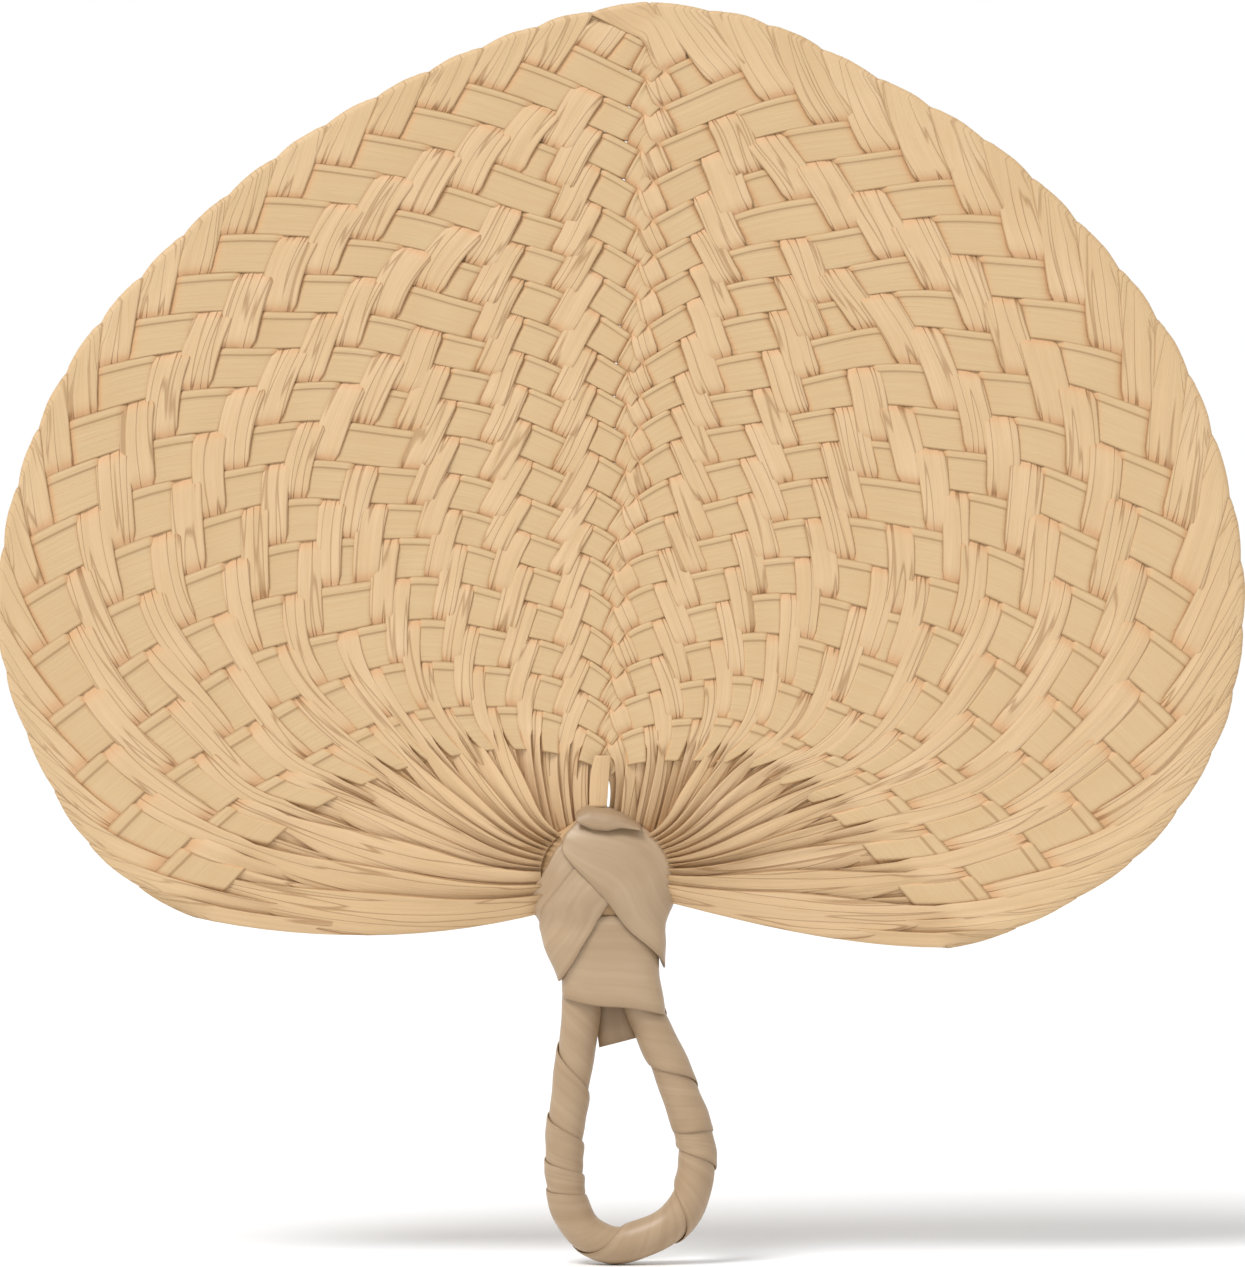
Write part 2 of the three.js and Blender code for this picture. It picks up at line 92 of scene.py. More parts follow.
def spline(points, steps=40):
    """Dense smooth line through points (Catmull-Rom, with the ends carried on straight)."""
    p = np.array(points, float)
    p = np.vstack([2 * p[0] - p[1], p, 2 * p[-1] - p[-2]])
    out = []
    for a, b, c, d in zip(p, p[1:], p[2:], p[3:]):
        k = np.sqrt([np.linalg.norm(b - a), np.linalg.norm(c - b), np.linalg.norm(d - c)])
        m1 = (c - b + k[1] * ((b - a) / k[0] - (c - a) / (k[0] + k[1])))
        m2 = (c - b + k[1] * ((d - c) / k[2] - (d - b) / (k[1] + k[2])))
        t = np.arange(steps)[:, None] / steps
        out.append((2 * t**3 - 3 * t**2 + 1) * b + (t**3 - 2 * t**2 + t) * m1
                   + (3 * t**2 - 2 * t**3) * c + (t**3 - t**2) * m2)
    return np.vstack(out + [p[-2:-1]])


def measured(line):
    """The line with the distance along it in front, so that places can be looked up by distance."""
    steps = np.linalg.norm(np.diff(line, axis=0), axis=1)
    return np.column_stack([np.concatenate([[0], np.cumsum(steps)]), line])


def rim(points):
    return measured(spline(np.array(TIP + points) * (BLADE_WIDTH, BLADE_HEIGHT)))


def on_rim(line, along):
    """Place at a share of the rim, carried on straight past its lower end."""
    d = along * line[-1, 0]
    over = np.maximum(d - line[-1, 0], 0)
    way = (line[-1, 1:] - line[-5, 1:]) / (line[-1, 0] - line[-5, 0])
    return [np.interp(d, line[:, 0], line[:, 1 + i]) + over * way[i] for i in (0, 1)]


left_rim, right_rim = rim(LEFT_RIM), rim(RIGHT_RIM)


def crossing(left, right):
    """Where left strip and right strip cross, counted outward from the neck; counts may be fractions."""
    row = np.minimum(left, right)
    columns = ROWS - 1 - 2 * row
    column = np.abs(left - right) / columns
    spread = columns * column * (EVEN_SPREAD + UNEVEN_SPREAD * column)
    reach = 2 * row + spread + 1
    swing = spread / reach
    along = EVEN_PITCH * swing + UNEVEN_PITCH * swing**2
    ends = [np.where(left >= right, a, b)
            for a, b in zip(on_rim(left_rim, along), on_rim(right_rim, along))]
    share = (reach / ROWS)**ROW_POWER
    x = WEAVE_FOCUS[0] + (ends[0] - WEAVE_FOCUS[0]) * share
    z = WEAVE_FOCUS[1] + (ends[1] - WEAVE_FOCUS[1]) * share + WEAVE_ARCH * 4 * share * (1 - share) * swing
    z = z - NECK_DROP * (1 - share)**6
    # Hand plaiting is uneven: away from the neck and the rim the rows wander by about a millimetre.
    wander = np.clip(np.minimum(share, 1 - share) * 4, 0, 1)
    x = x + wander * (0.7 * np.sin(z / 9.0 + x / 23.0) + 0.5 * np.sin(x / 7.3 - z / 31.0))
    z = z + wander * (0.6 * np.sin(x / 8.1 - z / 19.0) + 0.5 * np.sin(z / 6.7 + x / 37.0))
    return np.stack([x, z], -1)


def right_in_front(left, right):
    """Over two and under two, turned round at the centre line and again at the strips that come back from the
    rim. On the left these are shifted by one crossing, so that they come out in front next to the rim."""
    from_tip = ROWS - 2 - left - right
    if left > STRIPS:
        return from_tip % TWILL in (1, 2)
    if right > STRIPS or from_tip == 0:
        return from_tip % TWILL < TWILL / 2
    if left >= right:
        return (left - right) % TWILL in (1, 2)
    return (right - left) % TWILL in (0, 1)


def gathered(row, along, side, lobe):
    """Way of a strip from its last crossing (0) into the neck (1). It comes down from above, or from the
    side in a lobe."""
    def at(own, other):
        return crossing(own, other) if side < 0 else crossing(other, own)

    row = np.clip(row, 0.5, 2 * STRIPS + 0.45)
    one = np.ones_like(row)
    start = at(row, one)
    heading = start - at(row, 1.4 * one)
    heading /= np.linalg.norm(heading, axis=-1, keepdims=True)
    if lobe:
        outer = (row - LOBE_ROW) / (2 * STRIPS - LOBE_ROW)
        turn = np.radians(LOBE_FROM + (LOBE_TO[side] - LOBE_FROM) * outer)
        way = np.radians(62 + 42 * outer)
    else:
        turn = np.radians(INNER_FROM + INNER_SPAN * (row - 0.5) / LOBE_ROW)
        way = 0.35 * turn
    high = np.where(np.cos(turn) > 0, NECK_HIGH, NECK_LOW)
    end = np.stack([NECK_TOP[0] + side * NECK_WIDE * np.sin(turn), NECK_TOP[1] + high * np.cos(turn)], -1)
    outward = np.stack([side * np.sin(way), np.cos(way)], -1)
    pull = np.linalg.norm(start - end, axis=-1, keepdims=True) / 3
    a, b = start + heading * pull, end + outward * pull
    t = along
    return (1 - t)**3 * start + 3 * t * (1 - t)**2 * a + 3 * t * t * (1 - t) * b + t**3 * end


def piece(name, rings, marks):
    """Closed mesh through rows of points in millimetres; marks are kept at each point for the material."""
    rows, n = rings.shape[:2]
    i = np.arange(rows - 1)[:, None]
    j = np.arange(n)[None, :]
    here, there = i * n, (i + 1) * n
    quads = np.stack([here + j, here + (j + 1) % n, there + (j + 1) % n, there + j], -1).reshape(-1, 4)
    p = rings.reshape(-1, 3)
    a, b, c, d = (p[quads[:, k]] for k in range(4))
    volume = (a * np.cross(b, c)).sum() + (a * np.cross(c, d)).sum()
    faces = quads.tolist() + [list(range(n))[::-1], list(range((rows - 1) * n, rows * n))]
    if volume < 0:
        faces = [f[::-1] for f in faces]
    mesh = bpy.data.meshes.new(name)
    mesh.from_pydata((p * 0.001).tolist(), [], faces)
    mesh.polygons.foreach_set("use_smooth", [True] * len(faces))
    for key, values in marks.items():
        kept = mesh.attributes.new(key, "FLOAT_VECTOR", "POINT")
        kept.data.foreach_set("vector", values.reshape(-1).astype(np.float32))
    obj = bpy.data.objects.new(name, mesh)
    bpy.context.scene.collection.objects.link(obj)
    return obj


def stacked(*values):
    """Three values for each point, spread to the same shape."""
    return np.stack(np.broadcast_arrays(*values), -1)


def linear(hex_colour):
    c = [int(hex_colour[k:k + 2], 16) / 255 for k in (0, 2, 4)]
    return [v / 12.92 if v <= 0.04045 else ((v + 0.055) / 1.055)**2.4 for v in c] + [1.0]


def node(tree, kind, links=None, inputs=None, **settings):
    """Adds a node, with its settings, fixed inputs and links given as {input: (node, output)}."""
    made = tree.nodes.new("ShaderNode" + kind)
    for key, value in settings.items():
        setattr(made, key, value)
    for key, value in (inputs or {}).items():
        made.inputs[key].default_value = value
    for key, (source, output) in (links or {}).items():
        tree.links.new(source.outputs[output], made.inputs[key])
    return made


def blank_material(name):
    made = bpy.data.materials.new(name)
    made.use_nodes = True
    return made, made.node_tree, made.node_tree.nodes["Principled BSDF"]


# Dried cattail leaf: a papery, slightly waxy blade with parallel veins. It gives pale tan ribbons with fine
# lengthwise streaks and a soft sheen. Light and shade are painted in: an orange glow and shade where a strip
# dives under its neighbours or lies behind others at the neck, and dark lines of painted shade in the warps'
# creases, under each weft's hem and along the edges between strips.
# Real veins are too fine to show at this size, so they are drawn coarser, at 0.9 mm.
VEIN_MM, STREAK_LENGTH_MM = 0.9, 22.0
CREASE_MM, CREASE_LENGTH_MM = 3.6, 70
PATCH_MM, PATCH_LENGTH_MM = 5, 14
HEM_AT, HEM_HALF = 0.62, 0.045
WEFT, WARP, STREAK, PATCH = "cfb389", "dabb93", "c39e70", "cfae80"
TONE_DEEP, TUCK_SHADE, CREASE_SHADE = "c9a97c", "d08a52", "94693e"
leaf, tree, surface = blank_material("dried_cattail_leaf")
fibre = node(tree, "Attribute", attribute_name="fibre")
tint = node(tree, "Attribute", attribute_name="tint")
parts = node(tree, "SeparateXYZ", {"Vector": (tint, "Vector")})
along_veins = node(tree, "VectorMath", {0: (fibre, "Vector")}, {1: (1 / STREAK_LENGTH_MM, 1 / VEIN_MM, 1)},
                   operation="MULTIPLY")
veins = node(tree, "TexNoise", {"Vector": (along_veins, "Vector")},
             {"Scale": 1.0, "Detail": 3.0, "Roughness": 0.6})
lengthwise = node(tree, "VectorMath", {0: (fibre, "Vector")}, {1: (1 / CREASE_LENGTH_MM, 1 / CREASE_MM, 1)},
                  operation="MULTIPLY")
folds = node(tree, "TexNoise", {"Vector": (lengthwise, "Vector")}, {"Scale": 1.0, "Detail": 1.0})
# Painted shade: dark lines along the creases of the warps, stronger near a dive.
off_fold = node(tree, "Math", {0: (folds, "Fac")}, {1: 0.5}, operation="SUBTRACT")
beside = node(tree, "Math", {0: (off_fold, 0)}, operation="ABSOLUTE")
fold_line = node(tree, "MapRange", {"Value": (beside, 0)},
                 {"From Min": 0.004, "From Max": 0.022, "To Min": 0.85, "To Max": 0.0})
near_dive = node(tree, "MapRange", {"Value": (parts, "X")}, {"From Max": 0.3, "To Min": 0.6, "To Max": 1.0})
fold_share = node(tree, "Math", {0: (parts, "Z"), 1: (near_dive, "Result")}, operation="MULTIPLY")
crease_shade = node(tree, "Math", {0: (fold_line, "Result"), 1: (fold_share, 0)}, operation="MULTIPLY")
edge = node(tree, "Attribute", attribute_name="edge")
sides = node(tree, "SeparateXYZ", {"Vector": (edge, "Vector")})
# Painted shadow: a dark line under the turned hem of each weft.
hem_at = node(tree, "Math", {0: (sides, "X")}, {1: HEM_AT, 2: HEM_HALF}, operation="COMPARE")
weft_share = node(tree, "MapRange", {"Value": (parts, "Z")}, {"From Max": 0.5, "To Min": 0.5, "To Max": 0.0})
hem_shade = node(tree, "Math", {0: (hem_at, 0), 1: (weft_share, "Result")}, operation="MULTIPLY")
# Painted shade: dark lines along the edges of each strip, between neighbours, darker in the crowded folds at
# the neck.
edge_shade_ramp = node(tree, "MapRange", {"Value": (sides, "Y")}, {"From Min": 0.9, "From Max": 0.98, "To Max": 0.5})
at_neck = node(tree, "MapRange", {"Value": (sides, "Z")}, {"To Min": 1.0, "To Max": 1.7})
edge_shade = node(tree, "Math", {0: (edge_shade_ramp, "Result"), 1: (at_neck, "Result")}, operation="MULTIPLY")
hem_and_edge_shade = node(tree, "Math", {0: (hem_shade, 0), 1: (edge_shade, 0)}, operation="MAXIMUM")
shade_lines = node(tree, "Math", {0: (crease_shade, 0), 1: (hem_and_edge_shade, 0)}, operation="MAXIMUM")
patches = node(tree, "VectorMath", {0: (fibre, "Vector")}, {1: (1 / PATCH_LENGTH_MM, 1 / PATCH_MM, 1)},
               operation="MULTIPLY")
mottle = node(tree, "TexNoise", {"Vector": (patches, "Vector")}, {"Scale": 1.0, "Detail": 2.0})
weft_warp = node(tree, "Mix", {"Factor": (parts, "Z")}, {"A": linear(WEFT), "B": linear(WARP)},
                 data_type="RGBA")
streak = node(tree, "MapRange", {"Value": (veins, "Fac")},
              {"From Min": 0.36, "From Max": 0.66, "To Min": 0.3, "To Max": 0.0})
streaked = node(tree, "Mix", {"Factor": (streak, "Result"), "A": (weft_warp, "Result")},
                {"B": linear(STREAK)}, data_type="RGBA")
patch = node(tree, "MapRange", {"Value": (mottle, "Fac")},
             {"From Min": 0.45, "From Max": 0.75, "To Min": 0.0, "To Max": 0.4})
patched = node(tree, "Mix", {"Factor": (patch, "Result"), "A": (streaked, "Result")},
               {"B": linear(PATCH)}, data_type="RGBA")
toned = node(tree, "Mix", {"Factor": (parts, "Y"), "A": (patched, "Result")}, {"B": linear(TONE_DEEP)},
             data_type="RGBA")
# Painted shade and glow: orange where a strip dives under its neighbours or lies behind others near the neck.
tuck_shaded = node(tree, "Mix", {"Factor": (parts, "X"), "A": (toned, "Result")}, {"B": linear(TUCK_SHADE)},
              data_type="RGBA")
# All three lines of painted shade take the dark crease colour.
line_shaded = node(tree, "Mix", {"Factor": (shade_lines, 0), "A": (tuck_shaded, "Result")}, {"B": linear(CREASE_SHADE)},
               data_type="RGBA")
pressed = node(tree, "Math", {0: (veins, "Fac"), 1: (crease_shade, 0)}, operation="SUBTRACT")
relief = node(tree, "Bump", {"Height": (pressed, 0)}, {"Strength": 0.8, "Distance": 0.00025})
gloss = node(tree, "MapRange", {"Value": (veins, "Fac")}, {"To Min": 0.62, "To Max": 0.46})
tree.links.new(line_shaded.outputs["Result"], surface.inputs["Base Color"])
tree.links.new(gloss.outputs["Result"], surface.inputs["Roughness"])
tree.links.new(relief.outputs["Normal"], surface.inputs["Normal"])
surface.inputs["IOR"].default_value = 1.45

ACROSS = np.array([-1, -0.94, -0.72, -0.44, -0.16, 0.12, 0.4, 0.56, 0.64, 0.84, 0.95, 1])
ring_s = np.concatenate([ACROSS, ACROSS[::-1]])
ring_face = np.repeat([1.0, -1.0], len(ACROSS))
PER_CROSSING = 7
GATHER_STEPS = 16
TUCK_UNDER = 0.07
FLOAT_WIDER, FLOAT_LIFT = 0.27, 0.25
TILT_ANY, TILT_LAPPED = 0.16, 0.2
FOLD_ROUND = 0.8
FULL_WIDTH = 8.0
HEM_HIGH, PLEATS_HIGH = 0.26, (0.20, 0.10)
FRONT_RIBBON, LOBE_RIBBON, INNER_RIBBON = (2.2, 3.0), (0.9, 1.1), (0.75, 1.0)


def squeeze(row):
    """How far two neighbours crowd together between two cross strips, which shows more near the tip."""
    return 0.04 + 0.12 * smooth((row - 5) / 8)


def woven_half(crowding):
    """Half the width of a strip in the weave, where its edges tuck under its neighbours."""
    return STRIP_HALF * (1 - crowding) + TUCK_UNDER


def weave(counts, states):
    """Depth, share under and nearness to a dive at fractions of the crossings that states holds."""
    k = np.clip(np.floor(counts).astype(int), 0, len(states) - 1)
    k2 = np.minimum(k + 1, len(states) - 1)
    f = counts - np.floor(counts)
    level = states[k] + (states[k2] - states[k]) * smooth((f - 0.5) / 0.5 + 0.5)
    places = np.flatnonzero(states > 0)
    away = np.abs(counts[:, None] - places[None, :]).min(1) if len(places) else np.full(len(counts), 9.0)
    under = 1 - smooth((away - 0.42) / 0.34)
    return level, under, 4 * under * (1 - under)


def strip(count, side):
    """One strip, as rows of ring points, with the marks that its material reads."""
    def at(own, other):
        return crossing(own, other) if side < 0 else crossing(other, own)

    def in_front(own, other):
        return not right_in_front(own, other) if side < 0 else right_in_front(other, own)

    fold_row = ROWS - 1 - count
    s = ring_s[None, :]
    width = rng.uniform(1.0, 1.05)
    half = STRIP_HALF * width
    rows_xz, depth, turn, tuck_shade, role, crowd, tone = [], [], [], [], [], [], []

    def add(xz, y, t, under, warp, gathering, shade):
        n = len(xz)
        rows_xz.append(xz)
        depth.append(np.broadcast_to(y, (n, len(ring_s))))
        for kept, value in ((turn, t), (tuck_shade, under), (role, warp), (crowd, gathering), (tone, shade)):
            kept.append(np.broadcast_to(value, n))

    outbound = np.array([-1.0 if in_front(count, k) else 1.0 for k in range(1, fold_row)])
    inbound = np.array([1.0 if in_front(k, fold_row) else -1.0 for k in range(count - 1, 0, -1)])
    tones = rng.uniform(0, 1, len(outbound) + len(inbound) + 2)
    tilts = rng.uniform(-1, 1, len(tones))
    out, back = slice(0, len(outbound)), slice(len(outbound), len(outbound) + len(inbound))
    fold_tone = tones[len(outbound)]

    def gather(row, neck_side, flip, first, leaving):
        """Rows between the neck and the first crossing, of a strip that leaves the neck or comes back."""
        g = np.linspace(0, 1, GATHER_STEPS)[first:]
        g = g[::-1] if leaving else g
        lobe = row >= LOBE_ROW
        place = int(row) % 3
        wide = rng.uniform(*((FRONT_RIBBON if place == 0 else LOBE_RIBBON) if lobe else INNER_RIBBON))
        start = squeezed if leaving else half
        spread = start + (wide - start) * smooth(g * 1.6)
        xz = np.stack([gathered(row + flip * ring_s * h, t, neck_side, lobe) for h, t in zip(spread, g)])
        level = outbound[0] if leaving else (inbound[-1] if len(inbound) else -outbound[-1])
        stack = (-1, 0.9, 0)[place] + rng.uniform(-0.25, 0.25)
        layer = 2.2 * stack - 1.8 if lobe else 0.8 * stack + 1.6
        y = level * WAVE * (1 - smooth(g * 2)) + layer * smooth(g * 1.5)
        twist = 0.6 + (1.2 if lobe else 0.4) * smooth(g)
        # The orange painted shade grows here on ribbons that lie behind others near the neck.
        add(xz, y[:, None] + flip * s * twist[:, None], 0.0 if leaving else math.pi,
            0.12 + 0.25 * max(stack, 0) * smooth(g * 2), 1.0, smooth(g * 2), tones[0 if leaving else -1])

    u = np.arange(0, len(outbound) - 1 + 1e-6, 1 / PER_CROSSING)
    others = (u + 1)[:, None]
    from_centre = count - others
    warp = smooth((from_centre + 0.8) / 1.6)
    crowding = squeeze(others)
    lean = warp * crowding * np.sin(np.pi / 2 * ((3.5 if side < 0 else 4.5) - from_centre))
    near_centre = np.exp(-((others - count) / 1.3)**2)
    squeezed = float(woven_half(crowding)[0, 0]) * width
    gather(count, side, 1, 1, True)
    level, under, dive = weave(u, outbound)
    w = (warp * woven_half(crowding) + (1 - warp) * STRIP_HALF) * width * (1 - 0.04 * near_centre)
    afloat = warp * (1 - under[:, None])
    w = w * (1 + FLOAT_WIDER * afloat)
    tilt = np.interp(u, np.arange(len(outbound)), tilts[out])[:, None]
    # The orange painted shade follows dive, where the strip goes under its neighbours, here, at the fold and
    # on the way back.
    add(at(count + lean + s * w, np.broadcast_to(others, (len(u), len(ring_s)))),
        level[:, None] * WAVE - FLOAT_LIFT * afloat + s * (TILT_ANY * tilt + TILT_LAPPED * warp),
        0.0, dive, warp[:, 0], 0.0, np.interp(u, np.arange(len(outbound)), tones[out]))

    # The fold at the rim: up to the diagonal, round it from one face of the blade to the other, and back.
    t = np.array([0.3, 0.6, 0.85, 1.0])[:, None]
    add(at(np.broadcast_to(count + s * half, (4, len(ring_s))), fold_row - 1 + t * (1 - s * half)),
        outbound[-1] * WAVE, 0.0, 0.15, 0.3, 0.0, fold_tone)
    diagonal = at(count + s * half, fold_row - s * half)[0]
    corner = at(np.array(float(count)), np.array(float(fold_row)))
    outward = at(np.array(count + 0.2), np.array(fold_row + 0.2)) - corner
    outward /= np.linalg.norm(outward)
    angles = np.radians([45, 90, 135])
    scallop = WAVE * np.sin(angles)[:, None] + FOLD_ROUND * (1 - s**2)
    add(diagonal[None] + scallop[..., None] * outward, (outbound[-1] * WAVE * np.cos(angles))[:, None],
        angles, 0.1, 0.5, 0.0, fold_tone)
    if len(inbound):
        t = np.array([0.0, 0.2, 0.45, 0.75])[:, None]
        step = np.concatenate([[-outbound[-1]], inbound])
        level, _, dive = weave(t[:, 0] * 0.999, step[:2])
        folded = np.broadcast_to(fold_row - s * half, (4, len(ring_s)))
        add(at(count + s * half + t * (-1 - s * half), folded),
            level[:, None] * WAVE, math.pi, dive * 0.6, 0.8, 0.0, fold_tone)
        u = np.arange(0, len(inbound) - 1 + 1e-6, 1 / PER_CROSSING)
        level, under, dive = weave(u, inbound)
        owns = (count - 1 - u)[:, None]
        from_tip = ROWS - 2 - owns - fold_row
        settle = smooth(u / 2)[:, None]
        crowding = 0.7 * squeeze(owns) * settle
        lean = crowding * np.sin(np.pi / 2 * (from_tip - (0.5 if side < 0 else 2.5)))
        afloat = settle * (1 - under[:, None])
        w = (half + (woven_half(crowding) - half) * settle) * (1 + FLOAT_WIDER * afloat)
        tilt = np.interp(u, np.arange(len(inbound)), tilts[back])[:, None]
        add(at(np.broadcast_to(owns, (len(u), len(ring_s))), fold_row + lean - s * w),
            level[:, None] * WAVE - FLOAT_LIFT * afloat - s * (TILT_ANY * tilt + TILT_LAPPED * settle),
            math.pi, dive, 1.0, 0.0, np.interp(u, np.arange(len(inbound)), tones[back]))
    gather(fold_row, -side, -1, 1 if len(inbound) else 2, False)

    # The section: a thin edge, a low crown, lengthwise pleats on warps and one turned hem on wefts.
    xz, y = np.concatenate(rows_xz), np.concatenate(depth)
    turn, tuck_shade, role, crowd, tone = (np.concatenate(v)[:, None] for v in (turn, tuck_shade, role, crowd, tone))
    n = len(ACROSS)
    width = np.linalg.norm(xz[:, n - 1] - xz[:, 0], axis=-1)[:, None]
    slim = np.clip(width / FULL_WIDTH, 0.25, 1.0)
    crown = STRIP_CROWN * (1 - s**2) * slim
    phases = rng.uniform(0, 6.28, 3)
    pleat = (0.5 + 0.5 * np.cos(s * 5.2 + phases[0] + 0.03 * np.arange(len(xz))[:, None])) * PLEATS_HIGH[0]
    pleat += (0.5 + 0.5 * np.cos(s * 9.1 + phases[1])) * PLEATS_HIGH[1]
    hem = HEM_HIGH * smooth((s - 0.57) / 0.07)
    relief = role * pleat * (1 + 0.6 * crowd) + (1 - role) * hem
    bulge = STRIP_EDGE * 0.5 * (0.6 + 0.4 * slim) + crown + slim * relief * smooth((1 - np.abs(s)) / 0.06)
    lift = ring_face * bulge
    rings = np.empty(xz.shape[:2] + (3,))
    rings[..., 0] = xz[..., 0] + np.sin(turn) * lift * -outbound[-1] * outward[0]
    rings[..., 2] = xz[..., 1] + np.sin(turn) * lift * -outbound[-1] * outward[1]
    rings[..., 1] = y * np.where(crowd > 0, 1, 0.35 + 0.65 * slim) - np.cos(turn) * lift
    middle = rings[:, n // 2]
    along = np.concatenate([[0], np.cumsum(np.linalg.norm(np.diff(middle, axis=0), axis=1))])
    return rings, {"fibre": stacked(along[:, None], s * width / 2, np.float64(rng.uniform(0, 900))),
                   "tint": stacked(tuck_shade * 0.36, tone * 0.5, role + 0 * s),
                   "edge": stacked(s + 0 * width, np.abs(s), crowd)}


for number in range(1, STRIPS + 1):
    for side, word in ((-1, "left"), (1, "right")):
        made = piece(f"{word}_leaf_strip_{number:02d}", *strip(number, side))
        made.data.materials.append(leaf)
        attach(made, "root")
        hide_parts(f"{word}_strip_{number:02d}")

# The centre strip: one short flat end of leaf that stands in front of the slit between the two sides and
# runs down under the cap of the neck.
CENTRE_STRIP = [  # x, height, width
    (-1.2, 46.5, 4.3), (-1.9, 42.0, 5.2), (-2.3, 37.0, 5.3), (-2.5, 32.0, 5.0)]
CENTRE_STRIP_Y, CENTRE_STRIP_CROWN, CENTRE_STRIP_TILT = -2.7, 0.3, 0.25
line = spline(CENTRE_STRIP, 8)
s = ring_s[None, :]
rings = np.empty((len(line), len(ring_s), 3))
rings[..., 0] = line[:, :1] + s * line[:, 2:] / 2
rings[..., 1] = (CENTRE_STRIP_Y - ring_face * (STRIP_EDGE / 2 + CENTRE_STRIP_CROWN * (1 - s**2))
                 + CENTRE_STRIP_TILT * s)
rings[..., 2] = line[:, 1:2]
# The first mark adds a little of the strips' orange painted shade.
marks = {"fibre": stacked(CENTRE_STRIP[0][1] - line[:, 1:2], s * 2.6, 311.0),
         "tint": np.broadcast_to([0.1, 0.2, 0.4], rings.shape)}
centre_strip = piece("centre_leaf_strip", rings, marks)
centre_strip.data.materials.append(leaf)
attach(centre_strip, "root")
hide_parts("centre_strip")

# The bundle: the butts of all the strips, gathered and bound into an egg that the tapes are wound on. Of it
# only two shoulders show, between the leaf and the tape.
NECK = np.array([  # height, left, right, half depth
    (-27.5, -12.6, 16.9, 7.6), (-24.5, -12.6, 16.3, 7.7), (-16.4, -12.9, 15.0, 7.8), (-8.5, -16.3, 14.9, 8.0),
    (-2.8, -18.6, 15.6, 8.4), (0.8, -20.6, 16.7, 8.8), (3.4, -22.6, 17.9, 9.0), (6.5, -23.2, 19.0, 9.2),
    (9.9, -23.0, 19.8, 9.1), (14.1, -22.2, 19.8, 8.6), (19.8, -20.3, 18.3, 7.4), (23.7, -17.3, 15.4, 6.2),
    (26.5, -13.0, 11.4, 5.0), (29.0, -9.6, 7.0, 3.8), (31.5, -6.8, 2.6, 2.6)])
BUNDLE_FOOT, BUNDLE_TOP = -11, 31.5
BUTTS_ROUND, BUTT_RELIEF = 23, 0.25


def squareness(z):
    """Power of the neck's section: nearly square at the foot, rounder above."""
    return 0.58 + 0.24 * smooth((z + 12) / 14)


def neck_size(z):
    low, high, deep = (np.interp(z, NECK[:, 0], NECK[:, k]) for k in (1, 2, 3))
    inset = 0.9 + 1.3 * smooth((z + 8) / 8)
    return (low + high) / 2, (high - low) / 2 - inset, deep - inset


def on_neck(turn, z, lift):
    """Point on the neck: turn in degrees from the front toward the right, height, and lift off the bundle."""
    middle, wide, deep = neck_size(z)
    a = np.radians(turn)
    x = np.sign(np.sin(a)) * np.abs(np.sin(a))**squareness(z)
    y = -np.sign(np.cos(a)) * np.abs(np.cos(a))**squareness(z)
    return np.stack([middle + x * (wide + lift), y * (deep + lift), z + 0 * x], -1)


heights = np.linspace(BUNDLE_FOOT, BUNDLE_TOP, 34)[:, None]
turns = np.linspace(0, 360, 72, endpoint=False)[None, :]
butts = BUTT_RELIEF * np.sin(np.radians(turns) * BUTTS_ROUND) * smooth((heights - 4) / 8)
rings = on_neck(turns, heights + 0 * turns, butts)
# The marks add a little orange painted shade and mix the bundle nearly half toward the deeper tone.
marks = {"fibre": stacked(heights + 0 * turns, turns * 0.3, 77.0),
         "tint": np.broadcast_to([0.15, 0.9, 0.0], rings.shape)}
bundle = piece("bound_leaf_bundle", rings, marks)
bundle.data.materials.append(leaf)
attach(bundle, "root")
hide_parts("neck_core")

# The neck wraps: flat tan binding tape. A level band closes the foot over the ends of the loop; above it the
# tape is carried slantwise, down under one lobe and up the back, so that its laps cross in front and behind.
TAPE_THICK = 0.5
BAND_LIFT, UNDER_LIFT, OVER_LIFT, HOOD_LIFT = 0.35, 0.95, 1.55, 2.15

# Binding tape: a smooth, slightly waxy tape of split leaf skin. It gives a plain grey-tan with a satin sheen
# and a few faint lines along its length. Shade is painted in by mixing toward a dark brown: along the edges
# of each lap and each turn of the loop, over the cap, the tail and, a little, the whole loop.
LINE_MM, LINE_LENGTH_MM = 1.6, 40
CLOUD_MM, CLOUD_LENGTH_MM = 7, 16
TAPE_DARK, TAPE_PALE, TAPE_CLOUD, TAPE_SHADE = "ab9173", "b39a7c", "9b7f5f", "7d6144"
tape, tree, surface = blank_material("tan_binding_tape")
fibre = node(tree, "Attribute", attribute_name="fibre")
drawn = node(tree, "VectorMath", {0: (fibre, "Vector")}, {1: (1 / LINE_LENGTH_MM, 1 / LINE_MM, 1)},
             operation="MULTIPLY")
lines = node(tree, "TexNoise", {"Vector": (drawn, "Vector")}, {"Scale": 1.0, "Detail": 2.0})
clouds = node(tree, "VectorMath", {0: (fibre, "Vector")}, {1: (1 / CLOUD_LENGTH_MM, 1 / CLOUD_MM, 1)},
              operation="MULTIPLY")
cloudy = node(tree, "TexNoise", {"Vector": (clouds, "Vector")}, {"Scale": 1.0, "Detail": 2.0})
line_tone = node(tree, "MapRange", {"Value": (lines, "Fac")}, {"From Min": 0.35, "From Max": 0.65})
plain = node(tree, "Mix", {"Factor": (line_tone, "Result")}, {"A": linear(TAPE_DARK), "B": linear(TAPE_PALE)},
             data_type="RGBA")
cloud_tone = node(tree, "MapRange", {"Value": (cloudy, "Fac")},
                  {"From Min": 0.4, "From Max": 0.7, "To Max": 0.45})
